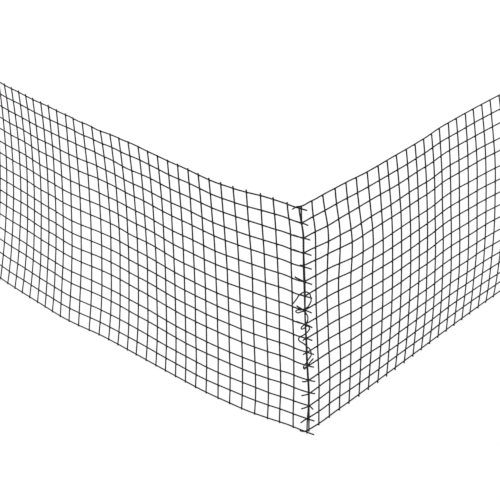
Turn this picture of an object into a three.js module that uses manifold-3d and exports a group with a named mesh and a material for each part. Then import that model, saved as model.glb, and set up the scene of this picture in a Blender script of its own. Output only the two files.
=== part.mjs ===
// Solar panel bird mesh: two strips of coated, welded wire mesh stood on edge. They meet at an outside corner,
// held by their own cut wire ends and by one length of tie wire. Millimetres, +Z up, standing on Z = 0.
// Line wires run along a strip and cross wires stand across it, on the outer face.
import * as THREE from 'three';
import { mergeVertices } from 'three/addons/utils/BufferGeometryUtils.js';
import Module from 'manifold-3d';

const wasm = await Module();
wasm.setup();

// The mesh: half inch cells, with slightly lower rows along both long edges
const PITCH = 12.7;
const ROWS = 16;
const EDGE_ROW = 11.7;
const WIRE = 1.2;
const WELD_DEPTH = 0.25;
const LAYER = (WIRE - WELD_DEPTH) / 2;

// The solids carry every second wire each way, so the openings are two cells wide and high
const EVERY = 2;

// Wire ends: how far they pass the last wire that crosses them
const FLUSH = 0.3;
const TOP_STUB = 2;
const CUT_PAST_LAST = 1;
const CORNER_REACH = 6.5;

// The corner's foot, seen from the middle of the footprint, and the line up from there: at counts cells up, and
// right and back are how far the corner stands from its foot. This fades out along both strips.
const CORNER = new THREE.Vector3(47.8, -147.2, 0);
const CORNER_LINE = [
  { at: 0, right: 0.3, back: 0 },
  { at: 3, right: 1.85, back: 1.2 },
  { at: 6, right: 0.9, back: 1.85 },
  { at: 9, right: 0.4, back: 2 },
  { at: 14, right: 0.35, back: 0.9 },
  { at: 16, right: -2.2, back: 0 },
];
const LINE_FADES_IN_CELLS = 3;

// Where the right strip starts behind the left one
const RIGHT_START = { x: -0.27, y: 3.25 };

// How high a strip's wires are lifted, at a count of cells from the corner
const LEFT_LIFT = [
  { at: 0, lift: 1.3 },
  { at: 1, lift: 0.7 },
  { at: 3, lift: 0.3 },
  { at: 8, lift: 0 },
];
const RIGHT_LIFT = [
  { at: 0, lift: -0.55 },
  { at: 1, lift: -0.3 },
  { at: 3, lift: 0.7 },
  { at: 8, lift: 0.9 },
  { at: 14, lift: 0.55 },
  { at: 22, lift: 0.35 },
];

// Line wires bent up, down or to the right at the corner, where the right strip's pass over the left strip's at
// the top and the foot, and under them in the lower half
const LEFT_BENDS = [
  { wire: 0, rise: 0.4, right: 0 },
  { wire: 4, rise: 0.7, right: 0 },
  { wire: 12, rise: -0.7, right: 0 },
  { wire: 16, rise: -1.1, right: 0 },
];
const RIGHT_BENDS = [
  { wire: 0, rise: 2.75, right: 1.45 },
  { wire: 4, rise: 1.9, right: 0 },
  { wire: 10, rise: -1, right: 0 },
  { wire: 12, rise: -1.8, right: 0 },
  { wire: 14, rise: -1, right: 0 },
  { wire: 16, rise: 2.55, right: 1.3 },
];
const BENDS_FADE_IN_CELLS = 1.5;

// A strip's bends, with a row for each section: at counts cells from the corner, heading is the foot's
// direction in plan, lean is how far the top stands behind the foot and bow how far the middle does.
const LEFT_SECTIONS = [
  { at: 0, heading: 146, lean: 0, bow: 0 },
  { at: 2, heading: 145, lean: 3, bow: 3 },
  { at: 6, heading: 141.5, lean: 5, bow: 3.5 },
  { at: 10, heading: 135, lean: 10, bow: 3 },
  { at: 15, heading: 134.5, lean: 14, bow: 6 },
  { at: 18, heading: 135.5, lean: 16.5, bow: 7 },
  { at: 20, heading: 139, lean: 20, bow: 6 },
  { at: 22, heading: 137, lean: 23, bow: 4.5 },
  { at: 25, heading: 132.5, lean: 24, bow: 6.5 },
  { at: 29, heading: 131.5, lean: 27, bow: 8.5 },
  { at: 32, heading: 128, lean: 29, bow: 7.5 },
];
const RIGHT_SECTIONS = [
  { at: 0, heading: 40, lean: 0, bow: 0 },
  { at: 2, heading: 45, lean: 3, bow: -1 },
  { at: 5, heading: 45.5, lean: 2.5, bow: -4 },
  { at: 8, heading: 46.5, lean: 2, bow: -5.5 },
  { at: 12, heading: 47, lean: 4, bow: -5.5 },
  { at: 15, heading: 46.5, lean: 7, bow: -5 },
  { at: 18, heading: 46, lean: 7, bow: -6 },
  { at: 22, heading: 45.5, lean: 7, bow: -8.5 },
];

// Soft dents, pushed back at a cell and a line wire counted from the top, over a width and height in cells
const RIGHT_DENTS = [
  { at: 4, wire: 4, push: -3, wide: 2.8, tall: 3 },
  { at: 2.2, wire: 2.4, push: -2.7, wide: 1.6, tall: 2.2 },
];

// Line wires, counted from the top, that run a little high or low away from the corner
const LEFT_DRIFT = [
  { wire: 4, rise: 0.3 },
  { wire: 8, rise: -0.65 },
  { wire: 12, rise: -1 },
];
const RIGHT_DRIFT = [
  { wire: 4, rise: 1 },
  { wire: 10, rise: -0.3 },
  { wire: 12, rise: -0.45 },
  { wire: 14, rise: 0.4 },
];
const DRIFT_GROWS_IN_CELLS = 2;

// The right strip's cut ends: through is how far each runs on past the corner and climb its rise there. Then it
// turns, in degrees in plan, past is the length from there and fall the drop at the tip. Those in the upper half
// turn along the inside of the left strip, and the others pass through its first cells.
const RIGHT_ENDS = [
  { wire: 0, through: 4, climb: 2.2, past: 4.4, turn: 8, fall: 1.7 },
  { wire: 2, through: 0, climb: 0, past: 8.3, turn: 80, fall: -1.4 },
  { wire: 4, through: 0, climb: 0, past: 3, turn: 80, fall: -0.1 },
  { wire: 6, through: 0, climb: 0, past: 4.5, turn: 80, fall: -1.2 },
  { wire: 8, through: 0, climb: 0, past: 8.8, turn: 80, fall: -1.4 },
  { wire: 10, through: 2, climb: 0, past: 0.8, turn: 0, fall: 0.2 },
  { wire: 12, through: 4, climb: 0, past: 1.2, turn: 35, fall: 0 },
  { wire: 14, through: 4, climb: 0, past: 3.2, turn: 5, fall: 0 },
  { wire: 16, through: 4, climb: 0, past: 4.2, turn: 68, fall: 0.2 },
];

// The tie wire's route from its upper free end to its lower one, from the corner's foot: x to the right,
// y away from the outer face, z up. It passes in front of the end wires to the right and behind them to the left.
const TIE = 1.1;
const TIE_SIDES = 6;
const TIE_STEPS = 140;
const TIE_ROUTE = [
  [-9, 3.4, 119.9], [-6.6, 0.4, 125.4], [-3.7, -1.8, 131.1], [-0.2, -2.5, 133.5], [3, -1.4, 131.7],
  [4.4, 1.4, 126.7], [4.9, 4.6, 122.3], [4.9, 7.7, 118.4], [3.9, 8.4, 115.5], [1.9, 7.3, 113.5],
  [-2.1, 6.6, 112.1], [-5.8, 6, 112.3], [-7, 4.2, 112.4], [-5.7, 1.6, 112.6], [-3.6, -1, 114.8],
  [-0.8, -2.5, 116.1], [0.9, -2.4, 113.4], [1.8, 0.6, 109.8], [2, 4.2, 105.5], [2, 7.9, 101.6],
  [1.2, 8.3, 99], [-0.4, 6.6, 98.8], [-2.2, 4.5, 98.5], [-3.4, 2.2, 98.6], [-3.1, -0.2, 98.9],
  [-1.2, -2.2, 100.9], [1.3, -3.45, 103.4], [2.8, -1.55, 99.4], [2.6, 2, 96.8], [1.9, 5, 93.3],
  [0.4, 6.4, 90.7], [-2.1, 5.8, 89.2], [-4.6, 5, 88.4], [-5.8, 3.6, 87.7], [-5.4, 1.6, 87.1],
  [-3.2, -1, 86.9], [-1.1, -2.3, 85.8], [0.6, -2.4, 83.6], [2.1, -1.2, 81.3], [3.3, 1.5, 76.6],
  [3.6, 3, 73.3], [3.3, 5, 70.2], [2.3, 6.8, 67.3], [0.9, 7.3, 64.8], [0, 6.6, 63.4],
  [-1.8, 5.2, 62.2], [-2.9, 3, 61.7], [-2.6, 0.6, 61.4], [-1.4, -1.6, 63.7], [0.4, -2.6, 66.8],
  [2.3, -2.8, 69.1], [4.8, -3.2, 72],
];

const COATING = { color: '#17181a', roughness: 0.42, metalness: 0 };

// A smooth value between the rows of a table
function between(rows, at, column) {
  const next = rows.findIndex((row) => row.at >= at);
  if (next <= 0) return rows.at(next)[column];
  const before = rows[next - 1];
  const ease = THREE.MathUtils.smoothstep(at, before.at, rows[next].at);
  return THREE.MathUtils.lerp(before[column], rows[next][column], ease);
}

// A line wire's height over the strip's bottom wire
function heightOfWire(strip, cells, wire) {
  const rowsBelow = ROWS - wire;
  const edges = (rowsBelow > 0 ? 1 : 0) + (wire === 0 ? 1 : 0);
  const drift = strip.drift.find((row) => row.wire === wire) ?? { rise: 0 };
  const grown = Math.min(1, cells / DRIFT_GROWS_IN_CELLS);
  return rowsBelow * PITCH - edges * (PITCH - EDGE_ROW) + drift.rise * grown;
}

// The foot's line in plan, added up in short steps from the corner
function foot(strip, cells) {
  const step = 0.25;
  const point = new THREE.Vector3(strip.start.x, strip.start.y, 0);
  for (let at = 0; at < cells; at += step) {
    const heading = THREE.MathUtils.degToRad(between(strip.sections, at + step / 2, 'heading'));
    const run = Math.min(step, cells - at) * PITCH;
    point.x += Math.cos(heading) * run;
    point.y += Math.sin(heading) * run;
  }
  return point;
}

// How far the corner's line takes a point sideways and back at a height, fading out along both strips
function cornerShift(height, cells) {
  const up = height / PITCH;
  const fade = Math.max(0, 1 - cells / LINE_FADES_IN_CELLS);
  const shift = new THREE.Vector3(between(CORNER_LINE, up, 'right'), between(CORNER_LINE, up, 'back'), 0);
  return shift.multiplyScalar(fade);
}

// How far a line wire is bent up and to the right where the strips cross
function cornerBend(strip, cells, wire) {
  const bend = strip.bends.find((row) => row.wire === wire) ?? { rise: 0, right: 0 };
  const fade = Math.max(0, 1 - cells / BENDS_FADE_IN_CELLS);
  return new THREE.Vector3(bend.right, 0, bend.rise).multiplyScalar(fade);
}

// A place on a strip's middle surface, with the directions along the strip and back from its outer face
function place(strip, cells, wire) {
  const heading = THREE.MathUtils.degToRad(between(strip.sections, cells, 'heading'));
  const along = new THREE.Vector3(Math.cos(heading), Math.sin(heading), 0);
  const back = new THREE.Vector3(along.y, -along.x, 0).multiplyScalar(strip.backTurn);
  const top = heightOfWire(strip, cells, 0);
  const height = heightOfWire(strip, cells, wire);
  const share = height / top;
  const lean = between(strip.sections, cells, 'lean');
  let depth = lean * share + between(strip.sections, cells, 'bow') * 4 * share * (1 - share);
  for (const dent of strip.dents) {
    const reach = ((cells - dent.at) / dent.wide) ** 2 + ((wire - dent.wire) / dent.tall) ** 2;
    depth += dent.push * Math.exp(-2 * reach);
  }
  const point = foot(strip, cells).addScaledVector(back, depth);
  point.z = WIRE / 2 + between(strip.lift, cells, 'lift') + height * Math.sqrt(1 - (lean / top) ** 2);
  point.add(cornerShift(height, cells)).add(cornerBend(strip, cells, wire));
  return { point, along, back };
}

// A square wire through a run of rings, each with its centre and the two directions across it
function squareWire(rings) {
  const box = new THREE.BoxGeometry(1, WIRE, WIRE, rings.length - 1, 1, 1);
  const position = box.attributes.position;
  for (let i = 0; i < position.count; i += 1) {
    const ring = rings[Math.round((position.getX(i) + 0.5) * (rings.length - 1))];
    const corner = ring.centre.clone();
    corner.addScaledVector(ring.across, position.getY(i));
    corner.addScaledVector(ring.upright, position.getZ(i));
    position.setXYZ(i, corner.x, corner.y, corner.z);
  }
  return box;
}

// Rings along a level run of points, mitred in plan where it turns
function levelRings(points) {
  return points.map((centre, i) => {
    const before = points[Math.max(i - 1, 0)];
    const after = points[Math.min(i + 1, points.length - 1)];
    const into = centre.clone().sub(i > 0 ? before : centre).setZ(0).normalize();
    const out = after.clone().sub(i < points.length - 1 ? centre : after).setZ(0).normalize();
    const along = into.clone().add(out).normalize();
    const halfTurn = i > 0 && i < points.length - 1 ? along.dot(into) : 1;
    const across = new THREE.Vector3(-along.y, along.x, 0).divideScalar(halfTurn);
    return { centre, across, upright: new THREE.Vector3(0, 0, 1) };
  });
}

// The points of a line wire's end past the corner, from its tip inwards
function cornerEnd(strip, wire, atCorner, along) {
  const out = along.clone().negate();
  const end = strip.ends.find((row) => row.wire === wire);
  if (!end) return [atCorner.clone().addScaledVector(out, CORNER_REACH)];
  const bend = atCorner.clone().addScaledVector(out, end.through);
  bend.z += end.climb;
  const turned = out.clone().applyAxisAngle(new THREE.Vector3(0, 0, 1), -THREE.MathUtils.degToRad(end.turn));
  const tip = bend.clone().addScaledVector(turned, end.past);
  tip.z -= end.fall;
  return end.through ? [tip, bend] : [tip];
}

function lineWire(strip, wire) {
  const points = [];
  for (let cells = 0; cells <= strip.cells; cells += EVERY) {
    const { point, back } = place(strip, cells, wire);
    points.push(point.addScaledVector(back, LAYER));
  }
  const { along } = place(strip, 0, wire);
  const last = place(strip, strip.cells, wire).along;
  points.push(points.at(-1).clone().addScaledVector(last, CUT_PAST_LAST));
  return squareWire(levelRings([...cornerEnd(strip, wire, points[0], along), ...points]));
}

function crossWire(strip, cells) {
  const rings = [];
  for (let wire = ROWS; wire >= 0; wire -= EVERY) {
    const { point, along, back } = place(strip, cells, wire);
    const upright = new THREE.Vector3(-along.y, along.x, 0);
    rings.push({ centre: point.addScaledVector(back, -LAYER), across: along, upright });
  }
  const lowest = rings[0].centre.clone();
  lowest.z = strip.standsOnStubs ? 0 : lowest.z - FLUSH;
  const highest = rings.at(-1).centre.clone();
  highest.z += strip.topStub;
  rings.unshift({ ...rings[0], centre: lowest });
  rings.push({ ...rings.at(-1), centre: highest });
  return squareWire(rings);
}

// A closed geometry as a solid that can be joined
function toSolid(geometry) {
  geometry.deleteAttribute('normal');
  geometry.deleteAttribute('uv');
  const merged = mergeVertices(geometry);
  const vertProperties = new Float32Array(merged.attributes.position.array);
  const triVerts = new Uint32Array(merged.index.array);
  return new wasm.Manifold(new wasm.Mesh({ numProp: 3, vertProperties, triVerts }));
}

function toGeometry(solid) {
  const mesh = solid.getMesh();
  const geometry = new THREE.BufferGeometry();
  geometry.setAttribute('position', new THREE.BufferAttribute(mesh.vertProperties, 3));
  geometry.setIndex(new THREE.BufferAttribute(mesh.triVerts, 1));
  geometry.computeVertexNormals();
  return geometry;
}

// All of a strip's wires, joined at their welds
function weldedStrip(strip) {
  const wires = [];
  for (let wire = 0; wire <= ROWS; wire += EVERY) wires.push(lineWire(strip, wire));
  for (let cells = 0; cells <= strip.cells; cells += EVERY) wires.push(crossWire(strip, cells));
  return toGeometry(wires.map(toSolid).reduce((joined, wire) => joined.add(wire)));
}

function tieWire() {
  const points = TIE_ROUTE.map(([x, y, z]) => new THREE.Vector3(x, y, z).add(cornerShift(z, 0)));
  const section = new THREE.Shape();
  section.absarc(0, 0, TIE / 2, 0, 2 * Math.PI);
  return new THREE.ExtrudeGeometry(section, {
    steps: TIE_STEPS,
    curveSegments: TIE_SIDES / 2,
    extrudePath: new THREE.CatmullRomCurve3(points),
  });
}

function named(name, geometry) {
  const mesh = new THREE.Mesh(geometry, new THREE.MeshStandardMaterial(COATING));
  mesh.name = name;
  mesh.position.copy(CORNER);
  return mesh;
}

const leftStrip = {
  cells: 32,
  sections: LEFT_SECTIONS,
  dents: [],
  drift: LEFT_DRIFT,
  ends: [],
  start: { x: 0, y: 0 },
  lift: LEFT_LIFT,
  bends: LEFT_BENDS,
  backTurn: 1,
  topStub: TOP_STUB,
  standsOnStubs: false,
};
const rightStrip = {
  cells: 22,
  sections: RIGHT_SECTIONS,
  dents: RIGHT_DENTS,
  drift: RIGHT_DRIFT,
  ends: RIGHT_ENDS,
  start: RIGHT_START,
  lift: RIGHT_LIFT,
  bends: RIGHT_BENDS,
  backTurn: -1,
  topStub: FLUSH,
  standsOnStubs: true,
};

const birdMesh = new THREE.Group();
birdMesh.add(named('left_strip', weldedStrip(leftStrip)));
birdMesh.add(named('right_strip', weldedStrip(rightStrip)));
birdMesh.add(named('tie_wire', tieWire()));

export default birdMesh;
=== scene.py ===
# Solar panel bird mesh: two strips of black coated, welded wire mesh that stand on edge and meet at a corner,
# bound there by one length of tie wire. Sizes are in millimetres until the meshes are made.
import math
from types import SimpleNamespace

import bmesh
import bpy
from mathutils import Matrix, Vector, noise


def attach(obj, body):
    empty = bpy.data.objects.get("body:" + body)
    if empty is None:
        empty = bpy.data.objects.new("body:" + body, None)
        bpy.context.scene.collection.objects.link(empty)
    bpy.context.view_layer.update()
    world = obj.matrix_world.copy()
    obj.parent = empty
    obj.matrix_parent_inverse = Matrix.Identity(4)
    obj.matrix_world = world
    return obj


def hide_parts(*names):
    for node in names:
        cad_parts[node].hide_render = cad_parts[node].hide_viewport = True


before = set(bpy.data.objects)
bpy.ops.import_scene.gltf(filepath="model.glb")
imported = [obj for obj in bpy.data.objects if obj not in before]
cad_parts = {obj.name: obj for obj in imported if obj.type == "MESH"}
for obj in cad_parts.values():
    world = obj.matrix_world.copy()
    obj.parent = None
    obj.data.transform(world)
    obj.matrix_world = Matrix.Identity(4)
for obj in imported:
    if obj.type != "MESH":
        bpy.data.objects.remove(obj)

MM = 0.001
UP = Vector((0, 0, 1))

# The mesh: half inch cells, with slightly lower rows along both long edges
PITCH = 12.7
ROWS = 16
EDGE_ROW = 11.7
LEFT_CELLS = 32
RIGHT_CELLS = 22

# Line wires lie behind a strip's middle surface and cross wires before it, sunk into each other at the welds.
# The back is on the right of the left strip, going out from the corner, and on the left of the other one.
BACK_ON_RIGHT = 1
BACK_ON_LEFT = -1
WIRE = 1.2
WELD_DEPTH = 0.25
LAYER = (WIRE - WELD_DEPTH) / 2

# Wire ends: how far they pass the last wire that crosses them
FLUSH = 0.3
CUT_PAST_LAST = 1
LEFT_STUBS = [
    dict(at=1, stub=2.4),
    dict(at=4, stub=2.8),
    dict(at=8, stub=2.2),
    dict(at=12, stub=1.6),
    dict(at=19, stub=1.6),
    dict(at=25, stub=2.4),
]
RIGHT_STUBS = [dict(at=0, stub=FLUSH)]

# How far over the floor the right strip's lower stubs end: it stands on those near the corner
RIGHT_FEET = [dict(at=8, over=0), dict(at=12, over=0.4)]

# A cut end narrows over this length to this share of the wire's radius
CHAMFER = 0.12
TIP_SHARE = 0.8

# The corner's foot, seen from the middle of the footprint, and where the two strips start from there
CORNER = Vector((47.8, -147.2, 0))
LEFT_START = Vector((0, 0, 0))
RIGHT_START = Vector((-0.27, 3.25, 0))

# The line up from the corner's foot: at counts cells up, and right and back are how far the corner stands
# from its foot. This fades out along both strips.
CORNER_LINE = [
    dict(at=0, right=0.3, back=0),
    dict(at=3, right=1.85, back=1.2),
    dict(at=6, right=0.9, back=1.85),
    dict(at=9, right=0.4, back=2),
    dict(at=14, right=0.35, back=0.9),
    dict(at=16, right=-2.2, back=0),
]
LINE_FADES_IN_CELLS = 3

# A strip's bends: at counts cells from the corner, heading is the foot's direction in plan, lean is how far
# the top stands behind the foot and bow how far the middle does.
LEFT_SECTIONS = [
    dict(at=0, heading=146, lean=0, bow=0),
    dict(at=2, heading=145, lean=3, bow=3),
    dict(at=6, heading=141.5, lean=5, bow=3.5),
    dict(at=10, heading=135, lean=10, bow=3),
    dict(at=15, heading=134.5, lean=13.5, bow=6),
    dict(at=18, heading=135.5, lean=16.5, bow=7),
    dict(at=20, heading=139, lean=20, bow=6),
    dict(at=22, heading=137, lean=23, bow=4.5),
    dict(at=25, heading=132.5, lean=24, bow=6.5),
    dict(at=29, heading=131.5, lean=27, bow=8.5),
    dict(at=32, heading=128, lean=29, bow=7.5),
]
RIGHT_SECTIONS = [
    dict(at=0, heading=38, lean=0, bow=0),
    dict(at=2, heading=45, lean=3, bow=-1),
    dict(at=5, heading=45.5, lean=2.5, bow=-4),
    dict(at=8, heading=46.5, lean=2, bow=-5.5),
    dict(at=12, heading=47, lean=4, bow=-5.5),
    dict(at=15, heading=46.5, lean=7, bow=-5),
    dict(at=18, heading=46, lean=7, bow=-6),
    dict(at=22, heading=45.5, lean=7, bow=-8.5),
]

# How far a strip's wires are lifted, at a count of cells from the corner, and how much more in the upper half
LEFT_LIFT = [
    dict(at=0, lift=1.3, upper=0),
    dict(at=1, lift=1.1, upper=-0.8),
    dict(at=2, lift=0.75, upper=-0.65),
    dict(at=3, lift=0.4, upper=0),
    dict(at=5, lift=0, upper=0),
    dict(at=8, lift=0, upper=0.4),
    dict(at=12, lift=0, upper=0.2),
    dict(at=16, lift=0, upper=-0.4),
    dict(at=20, lift=0, upper=-0.65),
    dict(at=24, lift=0, upper=0),
    dict(at=28, lift=0, upper=-0.6),
]
RIGHT_LIFT = [
    dict(at=0, lift=-0.55, upper=0),
    dict(at=1, lift=-0.3, upper=0.4),
    dict(at=3, lift=0.4, upper=0.5),
    dict(at=8, lift=1.05, upper=0.1),
    dict(at=14, lift=0.6, upper=0),
    dict(at=18, lift=0.65, upper=-0.3),
    dict(at=22, lift=0.5, upper=-0.7),
]

# How much more the top wire is lifted, fading out two rows down
TOP_LIFT_ROWS = 2
LEFT_TOP_LIFT = [
    dict(at=0, lift=0.2),
    dict(at=1, lift=0.9),
    dict(at=2, lift=0.7),
    dict(at=5, lift=-0.75),
    dict(at=9, lift=-0.85),
    dict(at=13, lift=-0.45),
    dict(at=15, lift=0.45),
    dict(at=16, lift=0.2),
    dict(at=18.5, lift=-1.2),
    dict(at=22, lift=-1.1),
    dict(at=24.5, lift=-0.1),
]
RIGHT_TOP_LIFT = [
    dict(at=0, lift=-0.1),
    dict(at=1, lift=0.7),
    dict(at=4, lift=0.75),
    dict(at=6, lift=-0.1),
    dict(at=8.5, lift=0.5),
    dict(at=11, lift=-0.3),
    dict(at=13, lift=0),
    dict(at=15, lift=-0.5),
    dict(at=17, lift=-0.2),
]

# Line wires, counted from the top, bent to the right and up at the corner, where the right strip's pass over
# the left strip's at the top and the foot, and under them in the lower half
NO_BEND = (0, 0)
LEFT_BENDS = {
    0: (-0.15, 0.7),
    2: (-0.1, 0),
    3: (-0.2, 0),
    4: (-0.4, 0.7),
    5: (-0.2, 0),
    12: (0, -0.7),
    14: (0.2, 0.2),
    15: (-0.15, 0.4),
    16: (-0.35, -1.1),
}
RIGHT_BENDS = {
    0: (1.45, 2.75),
    1: (0, 0.4),
    2: (0.1, 0),
    3: (-0.15, 0),
    4: (0.1, 1.9),
    5: (0.35, 0.4),
    6: (0.3, 0),
    9: (0.3, -0.5),
    10: (0.3, -1),
    11: (0.3, -1.2),
    12: (0.35, -1.8),
    13: (0.4, -1.9),
    14: (0.5, -1),
    15: (1.1, 0.95),
    16: (1.15, 0.8),
}
BENDS_FADE_IN_CELLS = 1.5

# Soft dents, pushed back at a cell and a line wire counted from the top, over a width and height in cells
DENT_FALLOFF = 2
LEFT_DENTS = [
    dict(at=4.5, wire=16.3, push=-0.8, wide=2.2, tall=1.6),
    dict(at=22, wire=16, push=-1, wide=3, tall=3),
]
RIGHT_DENTS = [
    dict(at=4, wire=4, push=-3, wide=2.8, tall=3),
    dict(at=2.2, wire=2.4, push=-2.7, wide=1.6, tall=2.2),
    dict(at=2.5, wire=6.5, push=0.6, wide=2.5, tall=2.5),
    dict(at=2.5, wire=11.5, push=-0.5, wide=2, tall=2.5),
    dict(at=6.2, wire=5, push=-0.8, wide=1.6, tall=2.2),
    dict(at=15.5, wire=6, push=0.8, wide=4, tall=2.8),
    dict(at=16.5, wire=11, push=-0.5, wide=3.5, tall=2.5),
]

# Line wires, counted from the top, that run a little high or low away from the corner
AWAY_IN_CELLS = 2
LEFT_DRIFT = {
    0: 0.7, 2: -0.3, 3: -0.2, 4: 0.4, 5: -0.25, 7: -0.3, 8: -0.9, 9: -0.4,
    10: -0.2, 11: 0.25, 12: -1, 13: 0.4, 15: 0.5,
}
RIGHT_DRIFT = {
    0: -0.2, 1: -0.9, 3: -0.7, 4: 0.8, 5: -0.6, 6: -0.4, 7: -0.3, 8: -0.3, 9: -0.4,
    10: -0.6, 11: -0.4, 12: -0.7, 13: -0.3, 14: 0.1, 15: 0.6,
}

# Cross wires, counted from the corner, that stand a little off their place along the strip
LEFT_SLIDES = {
    1: -0.25, 2: 0.7, 4: 0.4, 5: 0.7, 6: 0.45, 8: 0.25, 9: 0.45,
    10: 0.35, 13: 0.3, 14: 0.25, 17: 0.2, 19: -0.3,
    21: 0.45, 22: 0.55, 23: 0.4, 24: 0.6, 28: 0.2,
}
RIGHT_SLIDES = {
    1: -0.5, 2: -0.2, 4: -0.2, 6: 0.3, 7: 0.2, 8: -0.3, 9: -0.3,
    12: -0.4, 13: -0.7, 14: -0.5, 15: -0.2, 16: -0.4, 17: -0.4, 18: -0.4,
}

# Cross wires whose top stands further off, fading out a few rows down
TOP_SLIDE_ROWS = 4
LEFT_TOP_SLIDES = {
    1: -0.6, 3: 0.4, 4: 0.7, 5: 0.4, 6: 0.4, 7: 0.5, 9: 0.4,
    10: 0.4, 13: 0.3, 18: 0.8, 19: 0.7, 20: 0.6, 21: 0.8,
}
RIGHT_TOP_SLIDES = {
    5: -0.9, 6: -0.7, 8: -0.7, 9: -1.4, 15: 1, 17: 0.6, 18: -0.5, 19: -0.9, 20: -1,
}

# Cross wires that stand further off low down: most at two rows over the foot, and not at all half way up
LOW_SLIDE_SHARES = [dict(at=9.5, share=0), dict(at=14, share=1), dict(at=16, share=0.6)]
LEFT_LOW_SLIDES = {
    1: 1.2, 3: -0.9, 4: -1.5, 5: -1, 6: -0.4, 9: -0.6,
    10: -0.6, 11: -0.9, 12: -0.7, 13: -1.4, 14: -1, 16: -0.5, 17: -1.1, 18: -1.3, 19: -0.6,
    20: -0.7, 21: 0.7, 22: 0.5, 23: 1, 26: -0.6, 27: -0.5, 28: -0.7, 29: -0.4, 30: -0.4,
}
RIGHT_LOW_SLIDES = {
    1: -0.4, 2: 0.7, 3: 0.9, 5: 0.5, 12: 0.7, 13: 1.2, 14: 0.8, 15: 0.5, 16: 0.6, 17: 0.4,
}

# The left strip's cut ends past the corner: their length, how far their tips fall, and how much of that fall
# comes half way along
FALL_HALF_WAY = 0.3
LEFT_ENDS = [
    dict(wire=0, reach=6.2, fall=0.2),
    dict(wire=1, reach=5.1, fall=0.7),
    dict(wire=2, reach=5.3, fall=0.2),
    dict(wire=3, reach=6.3, fall=0.3),
    dict(wire=4, reach=6.6, fall=0.2),
    dict(wire=5, reach=6.5, fall=0.3),
    dict(wire=6, reach=6, fall=0),
    dict(wire=7, reach=5.5, fall=0.6),
    dict(wire=8, reach=5.6, fall=1.2),
    dict(wire=9, reach=5.1, fall=0.3),
    dict(wire=10, reach=6.3, fall=0.2),
    dict(wire=11, reach=5.6, fall=-0.6),
    dict(wire=12, reach=5.9, fall=-0.7),
    dict(wire=13, reach=5.4, fall=-1),
    dict(wire=14, reach=3.7, fall=2.4),
    dict(wire=15, reach=5.9, fall=-0.1),
    dict(wire=16, reach=6, fall=0),
]

# The right strip's cut ends: through is how far each runs on past the corner and climb its rise there. Then
# it turns, in degrees in plan, past is the length from there, fall the drop at the tip and hook its curl up.
# Those in the upper half turn along the inside of the left strip, and the others pass through its first
# cells.
RIGHT_ENDS = [
    dict(wire=0, through=4, climb=1.2, past=3.7, turn=8, fall=1.1, hook=0),
    dict(wire=1, through=0.1, climb=0, past=5.4, turn=80, fall=0.1, hook=0),
    dict(wire=2, through=0.1, climb=0, past=9, turn=80, fall=0, hook=0),
    dict(wire=3, through=0.1, climb=0, past=9.2, turn=80, fall=-0.2, hook=0),
    dict(wire=4, through=0.1, climb=0, past=3.3, turn=80, fall=0.8, hook=0),
    dict(wire=5, through=0.1, climb=0, past=8.8, turn=80, fall=-0.8, hook=0.5),
    dict(wire=6, through=0.1, climb=0, past=4.3, turn=80, fall=-0.3, hook=0),
    dict(wire=7, through=0.1, climb=0, past=7.3, turn=80, fall=-1.2, hook=0),
    dict(wire=8, through=0.1, climb=0, past=8, turn=80, fall=0.4, hook=0),
    dict(wire=9, through=2, climb=0, past=0.7, turn=0, fall=0.4, hook=0),
    dict(wire=10, through=2, climb=0, past=0.8, turn=0, fall=0.2, hook=0),
    dict(wire=11, through=2, climb=0, past=0.8, turn=0, fall=0.3, hook=0),
    dict(wire=12, through=4, climb=0.8, past=1.4, turn=35, fall=-0.7, hook=0),
    dict(wire=13, through=4, climb=1, past=2.9, turn=5, fall=-0.8, hook=0),
    dict(wire=14, through=4, climb=0.5, past=3.1, turn=5, fall=-0.5, hook=0),
    dict(wire=15, through=4, climb=-0.2, past=4.2, turn=0, fall=0.7, hook=0),
    dict(wire=16, through=4, climb=0.3, past=4.2, turn=68, fall=0.4, hook=0),
]

# A bend in a wire: its radius, how much of the wire on either side it may take, and the steps that draw it.
# A hooked tip curls back by a short length.
BEND_RADIUS = 1.2
BEND_ROOM = 0.9
BEND_STEPS = 4
HOOK_RADIUS = 0.8
HOOK_BACK = 0.5

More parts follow.
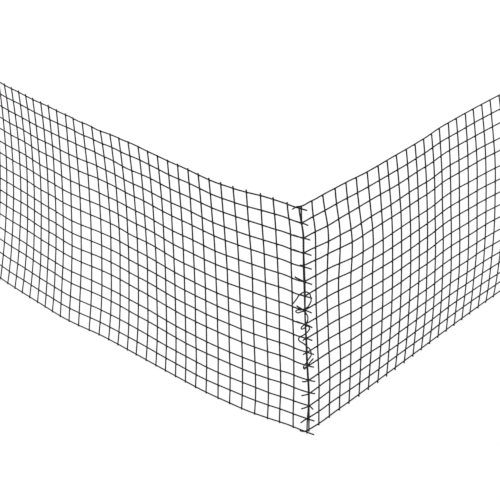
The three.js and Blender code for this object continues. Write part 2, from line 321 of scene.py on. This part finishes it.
# The tie wire's route from its upper free end to its lower one: right, back and up from the corner's foot
TIE = 1.1
TIE_STEPS = 6
TIE_ROUTE = [
    (-9, 3.4, 119.9), (-6.6, 0.4, 125.4), (-3.7, -1.8, 131.1), (-0.2, -2.5, 133.5), (3, -1.4, 131.7),
    (4.4, 1.4, 126.7), (4.9, 4.6, 122.3), (4.9, 7.7, 118.4), (3.9, 8.4, 115.5), (1.9, 7.3, 113.5),
    (-2.1, 6.6, 112.1), (-5.8, 6, 112.3), (-7, 4.2, 112.4), (-5.7, 1.6, 112.6), (-3.6, -1, 114.8),
    (-0.8, -2.5, 116.1), (0.9, -2.4, 113.4), (1.8, 0.6, 109.8), (2, 4.2, 105.5), (2, 7.9, 101.6),
    (1.2, 8.3, 99), (-0.4, 6.6, 98.8), (-2.2, 4.5, 98.5), (-3.4, 2.2, 98.6), (-3.1, -0.2, 98.9),
    (-1.2, -2.2, 100.9), (1.3, -3.45, 103.4), (2.8, -1.55, 99.4), (2.6, 2, 96.8), (1.9, 5, 93.3),
    (0.4, 6.4, 90.7), (-2.1, 5.8, 89.2), (-4.6, 5, 88.4), (-5.8, 3.6, 87.7), (-5.4, 1.6, 87.1),
    (-3.2, -1, 86.9), (-1.1, -2.3, 85.8), (0.6, -2.4, 83.6), (2.1, -1.2, 81.3), (3.3, 1.5, 76.6),
    (3.6, 3, 73.3), (3.3, 5, 70.2), (2.3, 6.8, 67.3), (0.9, 7.3, 64.8), (0, 6.6, 63.4),
    (-1.8, 5.2, 62.2), (-2.9, 3, 61.7), (-2.6, 0.6, 61.4), (-1.4, -1.6, 63.7), (0.4, -2.6, 66.8),
    (2.3, -2.8, 69.8), (4.8, -3.2, 73.2),
]

# How finely the wires are drawn
STEPS_PER_CELL = 4
SIDES_LEVEL = 3
CAP_WELD = 0.001
SHARP_ANGLE = 50

# Unevenness of the wires' places: its size, and its waves to a cell along and to a row down
WANDER = 0.6
SIDEWAYS_WAVES = (3.7, 0.3)
UPWARD_WAVES = (0.35, 4.3)
UPWARD_SEED = 50

# Unevenness of the coating: its share of the wire's radius, and its waves to a millimetre
COAT_UNEVEN = 0.05
COAT_WAVES = 0.35

# The coating gathers in a bead round each weld, a narrower one where the left strip's foot is cut flush
BEAD_HALF_WIDTH = 0.98
BEAD_HALF_DEPTH = 0.85
FLUSH_BEAD_SHARE = 0.74
BEAD_UNEVEN = 0.12
BEAD_WAVES = 0.9
BEAD_SIDES = 8
BEAD_RINGS = 5

# The melted coating's skin: the width and depth of its waves
SKIN_WAVE = 0.6
SKIN_DEPTH = 0.05

# The floor lies just under the lowest beads. Its half side is in metres.
FLOOR_DROP = 0.5
FLOOR_HALF_SIDE = 12

# The camera, from the corner's foot
CAMERA_PLACE = Vector((-40.1, -825.5, 634.7))
CAMERA_YAW = 0.04
CAMERA_PITCH = -29.3
CAMERA_ROLL = -2.55
FOCAL_PIXELS = 1281.5
IMAGE_SIDE = 500
SENSOR = 36


def linear(hex_colour):
    """An sRGB hex colour as linear RGBA."""
    def channel(start):
        value = int(hex_colour[start:start + 2], 16) / 255
        return value / 12.92 if value <= 0.04045 else ((value + 0.055) / 1.055) ** 2.4
    return (channel(1), channel(3), channel(5), 1)


def between(rows, at, column):
    """A smooth value between the rows of a table, level past its ends."""
    if at <= rows[0]["at"]:
        return rows[0][column]
    for before, after in zip(rows, rows[1:]):
        if at <= after["at"]:
            share = (at - before["at"]) / (after["at"] - before["at"])
            ease = share * share * (3 - 2 * share)
            return before[column] + (after[column] - before[column]) * ease
    return rows[-1][column]


def between_wires(level, at_wire):
    """A value at a level between two line wires, from its values at both."""
    over = min(int(level), ROWS - 1)
    return at_wire(over) + (at_wire(over + 1) - at_wire(over)) * (level - over)


def between_cross_wires(slides, cells):
    """A slide at a place between two cross wires."""
    near = math.floor(cells)
    share = cells - near
    return slides.get(near, 0) * (1 - share) + slides.get(near + 1, 0) * share


def foot_line(sections, cells, start):
    """The foot's line in plan, in steps of a quarter cell from the corner."""
    run = PITCH / STEPS_PER_CELL
    points = [start]
    for step in range(cells * STEPS_PER_CELL):
        heading = math.radians(between(sections, (step + 0.5) / STEPS_PER_CELL, "heading"))
        points.append(points[-1] + Vector((math.cos(heading), math.sin(heading), 0)) * run)
    return points


def wire_height(strip, cells, wire):
    """A line wire's height over the bottom one, less what the lower edge rows under it take away."""
    edge_rows = (wire < ROWS) + (wire == 0)
    away = min(1, cells / AWAY_IN_CELLS)
    return (ROWS - wire) * PITCH - edge_rows * (PITCH - EDGE_ROW) + strip.drift.get(wire, 0) * away


def corner_shift(height, cells):
    """How far the corner's line takes a point sideways and back at a height, fading out along both strips."""
    up = height / PITCH
    fade = max(0, 1 - cells / LINE_FADES_IN_CELLS)
    return Vector((between(CORNER_LINE, up, "right"), between(CORNER_LINE, up, "back"), 0)) * fade


def corner_bend(strip, cells, level):
    """How far a wire is bent to the right and up where the strips cross."""
    fade = max(0, 1 - cells / BENDS_FADE_IN_CELLS)
    right = between_wires(level, lambda wire: strip.bends.get(wire, NO_BEND)[0])
    up = between_wires(level, lambda wire: strip.bends.get(wire, NO_BEND)[1])
    return Vector((right, 0, up)) * fade


def slide(strip, cells, level):
    """How far a place is taken along the strip by the cross wires on either side of it."""
    near_top = max(0, 1 - level / TOP_SLIDE_ROWS)
    low_down = between(LOW_SLIDE_SHARES, level, "share")
    at_top = between_cross_wires(strip.top_slides, cells) * near_top
    at_foot = between_cross_wires(strip.low_slides, cells) * low_down
    return between_cross_wires(strip.slides, cells) + at_top + at_foot


def wander(strip, cells, level):
    """Unevenness of the wires along the strip and upwards, none at the corner."""
    size = WANDER * min(1, cells / AWAY_IN_CELLS)
    along_cell, down_row = SIDEWAYS_WAVES
    sideways = noise.noise(Vector((cells * along_cell, level * down_row, strip.seed)))
    along_cell, down_row = UPWARD_WAVES
    upwards = noise.noise(Vector((cells * along_cell, level * down_row, strip.seed + UPWARD_SEED)))
    return sideways * size, upwards * size


def dent_depth(strip, cells, level):
    """How far the dents near a place push it back."""
    depth = 0
    for dent in strip.dents:
        along = (cells - dent["at"]) / dent["wide"]
        down = (level - dent["wire"]) / dent["tall"]
        depth += dent["push"] * math.exp(-DENT_FALLOFF * (along ** 2 + down ** 2))
    return depth


def lift(strip, cells, level, height_share):
    """How far a place is lifted: in all, more in the upper half, and more again close to the top wire."""
    upper = between(strip.lifts, cells, "upper") * min(1, height_share * 2)
    near_top = max(0, 1 - level / TOP_LIFT_ROWS)
    return between(strip.lifts, cells, "lift") + upper + between(strip.top_lifts, cells, "lift") * near_top


def place(strip, cells, level):
    """A place on a strip's middle surface, and the directions along it and back from its outer face."""
    heading = math.radians(between(strip.sections, cells, "heading"))
    along = Vector((math.cos(heading), math.sin(heading), 0))
    back = Vector((along.y, -along.x, 0)) * strip.back_side
    height = between_wires(level, lambda wire: wire_height(strip, cells, wire))
    top = wire_height(strip, cells, 0)
    share = height / top
    lean = between(strip.sections, cells, "lean")
    # The bow is full half way up, and none at the foot and the top
    bow = between(strip.sections, cells, "bow") * 4 * share * (1 - share)
    depth = lean * share + bow + dent_depth(strip, cells, level)
    sideways, upwards = wander(strip, cells, level)
    sideways += slide(strip, cells, level)
    point = strip.foot[round(cells * STEPS_PER_CELL)] + back * depth + along * sideways
    # A strip that leans keeps its length up the slope
    upright = height * math.sqrt(1 - (lean / top) ** 2)
    point.z = WIRE / 2 + lift(strip, cells, level, share) + upright
    if 0 < level < ROWS:
        point.z += upwards
    point += corner_shift(height, cells) + corner_bend(strip, cells, level)
    return point, along, back


def round_bend(before, corner, after, radius):
    """Points that round off a bend."""
    into = (before - corner).normalized() * min(radius, (before - corner).length * BEND_ROOM)
    out = (after - corner).normalized() * min(radius, (after - corner).length * BEND_ROOM)
    shares = [step / BEND_STEPS for step in range(BEND_STEPS + 1)]
    return [corner + into * (1 - share) ** 2 + out * share ** 2 for share in shares]


def left_end(wire, start, out):
    """A left strip's wire end, from its tip in to the corner."""
    end = LEFT_ENDS[wire]
    tip = start + out * end["reach"] - UP * end["fall"]
    middle = start + out * (end["reach"] / 2) - UP * (end["fall"] * FALL_HALF_WAY)
    return [tip, middle]


def right_end(wire, start, out):
    """A right strip's wire end, run through the corner and bent over there, from its tip in to the corner."""
    end = RIGHT_ENDS[wire]
    bend = start + out * end["through"] + UP * end["climb"]
    turned = Matrix.Rotation(-math.radians(end["turn"]), 3, "Z") @ out
    tip = bend + turned * end["past"] - UP * end["fall"]
    points = round_bend(tip, bend, start, BEND_RADIUS)
    if end["hook"]:
        curl_top = tip + UP * end["hook"] - turned * HOOK_BACK
        return [curl_top] + round_bend(curl_top, tip, bend, HOOK_RADIUS) + points
    return [tip] + points


def left_strip():
    """The left strip, ready to be asked for places on it."""
    return SimpleNamespace(
        name="left_strip",
        cells=LEFT_CELLS,
        foot=foot_line(LEFT_SECTIONS, LEFT_CELLS, LEFT_START),
        back_side=BACK_ON_RIGHT,
        seed=3,
        sections=LEFT_SECTIONS,
        lifts=LEFT_LIFT,
        top_lifts=LEFT_TOP_LIFT,
        bends=LEFT_BENDS,
        dents=LEFT_DENTS,
        drift=LEFT_DRIFT,
        slides=LEFT_SLIDES,
        top_slides=LEFT_TOP_SLIDES,
        low_slides=LEFT_LOW_SLIDES,
        corner_end=left_end,
        stubs=LEFT_STUBS,
        feet=None,
        foot_bead=FLUSH_BEAD_SHARE,
    )


def right_strip():
    """The right strip, ready to be asked for places on it."""
    return SimpleNamespace(
        name="right_strip",
        cells=RIGHT_CELLS,
        foot=foot_line(RIGHT_SECTIONS, RIGHT_CELLS, RIGHT_START),
        back_side=BACK_ON_LEFT,
        seed=11,
        sections=RIGHT_SECTIONS,
        lifts=RIGHT_LIFT,
        top_lifts=RIGHT_TOP_LIFT,
        bends=RIGHT_BENDS,
        dents=RIGHT_DENTS,
        drift=RIGHT_DRIFT,
        slides=RIGHT_SLIDES,
        top_slides=RIGHT_TOP_SLIDES,
        low_slides=RIGHT_LOW_SLIDES,
        corner_end=right_end,
        stubs=RIGHT_STUBS,
        feet=RIGHT_FEET,
        foot_bead=1,
    )


def line_wire(strip, wire):
    """The path of a line wire, behind the strip's middle surface, from its end at the corner."""
    steps = range(strip.cells * STEPS_PER_CELL + 1)
    places = [place(strip, step / STEPS_PER_CELL, wire) for step in steps]
    path = [point + back * LAYER for point, along, back in places]
    first_along = places[0][1]
    last_along = places[-1][1]
    return strip.corner_end(wire, path[0], -first_along) + path + [path[-1] + last_along * CUT_PAST_LAST]


def cross_wire(strip, cells):
    """The path of a cross wire, before the strip's middle surface, from the bottom up."""
    steps = range(ROWS * STEPS_PER_CELL, -1, -1)
    places = [place(strip, cells, step / STEPS_PER_CELL) for step in steps]
    path = [point - back * LAYER for point, along, back in places]
    lowest = path[0].copy()
    lowest.z = between(strip.feet, cells, "over") if strip.feet else lowest.z - FLUSH
    stub = between(strip.stubs, cells, "stub")
    highest = path[-1] + (path[-1] - path[-2]).normalized() * stub
    return [lowest] + path + [highest]


def chamfered(path):
    """A path with a ring close to each cut end, so that the coating's edge can be rounded there."""
    first = path[0] + (path[1] - path[0]).normalized() * CHAMFER
    last = path[-1] + (path[-2] - path[-1]).normalized() * CHAMFER
    return [path[0], first] + path[1:-1] + [last, path[-1]]


def coat_radius(point):
    """The coating's uneven thickness along a wire, as a share of the wire's radius."""
    return 1 + COAT_UNEVEN * noise.noise(point * COAT_WAVES)


def round_curve(name, diameter):
    """An empty curve that is drawn as a round wire."""
    curve = bpy.data.curves.new(name, "CURVE")
    curve.dimensions = "3D"
    curve.bevel_depth = diameter / 2 * MM
    curve.bevel_resolution = SIDES_LEVEL
    curve.use_fill_caps = True
    return curve


def closed_mesh(curve):
    """A curve's wires as a mesh, with the caps of their cut ends joined on."""
    drawn = bpy.data.objects.new(curve.name, curve)
    bpy.context.collection.objects.link(drawn)
    depsgraph = bpy.context.evaluated_depsgraph_get()
    mesh = bpy.data.meshes.new_from_object(drawn.evaluated_get(depsgraph))
    bpy.data.objects.remove(drawn)
    bpy.data.curves.remove(curve)
    shape = bmesh.new()
    shape.from_mesh(mesh)
    bmesh.ops.remove_doubles(shape, verts=shape.verts, dist=CAP_WELD * MM)
    bmesh.ops.recalc_face_normals(shape, faces=shape.faces)
    shape.to_mesh(mesh)
    shape.free()
    return mesh


def mesh_wires(name, paths):
    """A mesh of round wires along the paths, with closed, narrowed ends."""
    curve = round_curve(name, WIRE)
    for path in paths:
        places = chamfered(path)
        spline = curve.splines.new("POLY")
        spline.points.add(len(places) - 1)
        for point, where in zip(spline.points, places):
            point.co = (*((where + CORNER) * MM), 1)
            point.radius = coat_radius(where)
        spline.points[0].radius *= TIP_SHARE
        spline.points[-1].radius *= TIP_SHARE
    return closed_mesh(curve)


def round_bead():
    """A round bead of coating, to be stretched to its size at each weld."""
    mesh = bpy.data.meshes.new("weld_bead")
    shape = bmesh.new()
    bmesh.ops.create_uvsphere(shape, u_segments=BEAD_SIDES, v_segments=BEAD_RINGS, radius=1)
    shape.to_mesh(mesh)
    shape.free()
    return mesh


def add_beads(strip, mesh):
    """Adds a bead of coating round each weld of a strip, as wide as it gathers between the wires."""
    joined = bmesh.new()
    joined.from_mesh(mesh)
    bead = round_bead()
    for cells in range(strip.cells + 1):
        for wire in range(ROWS + 1):
            point, along, back = place(strip, cells, wire)
            swell = 1 + BEAD_UNEVEN * noise.noise(point * BEAD_WAVES)
            wide = BEAD_HALF_WIDTH * swell * (strip.foot_bead if wire == ROWS else 1)
            size = Vector((wide, BEAD_HALF_DEPTH, wide)) * MM
            turn = Matrix((along, back, UP)).transposed().to_4x4()
            there = Matrix.Translation((point + CORNER) * MM) @ turn @ Matrix.Diagonal((*size, 1))
            bead.transform(there)
            joined.from_mesh(bead)
            bead.transform(there.inverted())
    bmesh.ops.recalc_face_normals(joined, faces=joined.faces)
    joined.to_mesh(mesh)
    joined.free()
    bpy.data.meshes.remove(bead)


def add_piece(name, mesh, material, node):
    """Puts a finished mesh in the scene in place of its solid."""
    mesh.name = name
    mesh.shade_smooth()
    mesh.set_sharp_from_angle(angle=math.radians(SHARP_ANGLE))
    mesh.materials.clear()
    mesh.materials.append(material)
    piece = bpy.data.objects.new(name, mesh)
    bpy.context.collection.objects.link(piece)
    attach(piece, "root")
    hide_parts(node)
    return piece


def add_strip(strip, material):
    """A strip's wires and weld beads as one piece."""
    paths = [line_wire(strip, wire) for wire in range(ROWS + 1)]
    paths += [cross_wire(strip, cells) for cells in range(strip.cells + 1)]
    mesh = mesh_wires(strip.name, paths)
    add_beads(strip, mesh)
    piece = add_piece(strip.name + "_wires", mesh, material, strip.name)


def add_tie(material):
    """The tie wire, on a smooth curve through its route."""
    curve = round_curve("tie", TIE)
    curve.resolution_u = TIE_STEPS
    spline = curve.splines.new("BEZIER")
    spline.bezier_points.add(len(TIE_ROUTE) - 1)
    for point, route in zip(spline.bezier_points, TIE_ROUTE):
        where = Vector(route)
        point.co = (where + corner_shift(where.z, 0) + CORNER) * MM
        point.handle_left_type = "AUTO"
        point.handle_right_type = "AUTO"
    add_piece("tie_wire_round", closed_mesh(curve), material, "tie_wire")


def add_node(tree, kind, inputs=None, **settings):
    """A shader node with its settings. Each input is a value or another node's output."""
    made = tree.nodes.new(kind)
    for name, value in settings.items():
        setattr(made, name, value)
    for name, value in (inputs or {}).items():
        if isinstance(value, bpy.types.NodeSocket):
            tree.links.new(value, made.inputs[name])
        else:
            made.inputs[name].default_value = value
    return made


def per_metre(millimetres):
    """A texture scale that gives features of a size."""
    return 1 / (millimetres * MM)


def pvc_coating(name, black, faded, scuff_size, roughness_low, roughness_high):
    """Black PVC melted on to wire: a smooth, slightly wavy skin with a soft shine and faint dull scuffs."""
    material = bpy.data.materials.new(name)
    material.use_nodes = True
    tree = material.node_tree
    tree.nodes.clear()
    where = add_node(tree, "ShaderNodeTexCoord").outputs["Object"]
    scuffs = add_node(
        tree,
        "ShaderNodeTexNoise",
        {"Vector": where, "Scale": per_metre(scuff_size), "Detail": 4.0, "Roughness": 0.6},
    ).outputs["Fac"]
    scuff_share = add_node(
        tree,
        "ShaderNodeMapRange",
        {"Value": scuffs, "From Min": 0.52, "From Max": 0.78, "To Min": 0.0, "To Max": 1.0},
    ).outputs["Result"]
    colour = add_node(
        tree,
        "ShaderNodeMix",
        {"Factor": scuff_share, "A": linear(black), "B": linear(faded)},
        data_type="RGBA",
    ).outputs["Result"]
    rough = add_node(
        tree,
        "ShaderNodeMapRange",
        {
            "Value": scuffs,
            "From Min": 0.3,
            "From Max": 0.75,
            "To Min": roughness_low,
            "To Max": roughness_high,
        },
    ).outputs["Result"]
    skin = add_node(
        tree,
        "ShaderNodeTexNoise",
        {"Vector": where, "Scale": per_metre(SKIN_WAVE), "Detail": 2.0, "Roughness": 0.5},
    ).outputs["Fac"]
    bump = add_node(
        tree,
        "ShaderNodeBump",
        {"Height": skin, "Strength": 0.35, "Distance": SKIN_DEPTH * MM},
    ).outputs["Normal"]
    shader = add_node(
        tree,
        "ShaderNodeBsdfPrincipled",
        {"Base Color": colour, "Roughness": rough, "Normal": bump, "IOR": 1.53, "Specular IOR Level": 0.15},
    ).outputs["BSDF"]
    add_node(tree, "ShaderNodeOutputMaterial", {"Surface": shader})
    return material


def opal_acrylic():
    """Opal acrylic lit from below: an even white on which the wires throw hardly any shadow."""
    material = bpy.data.materials.new("opal_acrylic_lit_from_below")
    material.use_nodes = True
    shader = material.node_tree.nodes["Principled BSDF"]
    shader.inputs["Base Color"].default_value = linear("#484848")
    shader.inputs["Roughness"].default_value = 0.9
    shader.inputs["Specular IOR Level"].default_value = 0.1
    shader.inputs["Emission Color"].default_value = linear("#ffffff")
    shader.inputs["Emission Strength"].default_value = 0.9
    return material


def add_floor():
    """A wide plain floor that the mesh stands on."""
    mesh = bpy.data.meshes.new("floor")
    shape = bmesh.new()
    bmesh.ops.create_grid(shape, x_segments=1, y_segments=1, size=FLOOR_HALF_SIDE)
    shape.to_mesh(mesh)
    shape.free()
    mesh.materials.append(opal_acrylic())
    floor = bpy.data.objects.new("floor", mesh)
    floor.location.z = -FLOOR_DROP * MM
    bpy.context.collection.objects.link(floor)


def add_softbox(name, place_m, side_m, watts):
    """A square soft light that faces the middle of the footprint."""
    light = bpy.data.lights.new(name, "AREA")
    light.shape = "SQUARE"
    light.size = side_m
    light.energy = watts
    lamp = bpy.data.objects.new(name, light)
    lamp.location = place_m
    lamp.rotation_euler = (-Vector(place_m)).to_track_quat("-Z", "Y").to_euler()
    bpy.context.collection.objects.link(lamp)


def light_studio():
    """An even white room with two large soft lights."""
    world = bpy.data.worlds.new("white_room")
    bpy.context.scene.world = world
    world.use_nodes = True
    background = world.node_tree.nodes["Background"]
    background.inputs["Color"].default_value = linear("#ffffff")
    background.inputs["Strength"].default_value = 1.0
    add_softbox("key_softbox", place_m=(-1.2, -1.6, 2.4), side_m=2.0, watts=70)
    add_softbox("fill_softbox", place_m=(1.8, 0.6, 2.6), side_m=2.4, watts=55)
    bpy.context.scene.view_settings.view_transform = "Standard"


def add_camera():
    """The camera at the view's angle, from its fitted place over the corner's foot."""
    yaw = math.radians(CAMERA_YAW)
    pitch = math.radians(CAMERA_PITCH)
    roll = math.radians(CAMERA_ROLL)
    level_right = Vector((math.cos(yaw), -math.sin(yaw), 0))
    level_forward = Vector((math.sin(yaw), math.cos(yaw), 0))
    forward = level_forward * math.cos(pitch) + UP * math.sin(pitch)
    level_up = level_right.cross(forward)
    right = level_right * math.cos(roll) + level_up * math.sin(roll)
    up = level_up * math.cos(roll) - level_right * math.sin(roll)
    data = bpy.data.cameras.new("camera")
    data.sensor_width = SENSOR
    data.lens = FOCAL_PIXELS * SENSOR / IMAGE_SIDE
    data.clip_start = 0.01
    camera = bpy.data.objects.new("camera", data)
    axes = Matrix((right, up, -forward)).transposed().to_4x4()
    camera.matrix_world = Matrix.Translation((CORNER + CAMERA_PLACE) * MM) @ axes
    bpy.context.collection.objects.link(camera)
    bpy.context.scene.camera = camera


def main():
    """Builds the mesh, the floor, the light and the camera."""
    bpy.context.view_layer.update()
    add_camera()
    mesh_coating = pvc_coating(
        "pvc_coated_mesh_wire",
        black="#080808",
        faded="#161616",
        scuff_size=9,
        roughness_low=0.36,
        roughness_high=0.52,
    )
    tie_coating = pvc_coating(
        "pvc_coated_tie_wire",
        black="#080808",
        faded="#141414",
        scuff_size=6,
        roughness_low=0.32,
        roughness_high=0.46,
    )
    add_strip(left_strip(), mesh_coating)
    add_strip(right_strip(), mesh_coating)
    add_tie(tie_coating)
    add_floor()
    light_studio()


main()
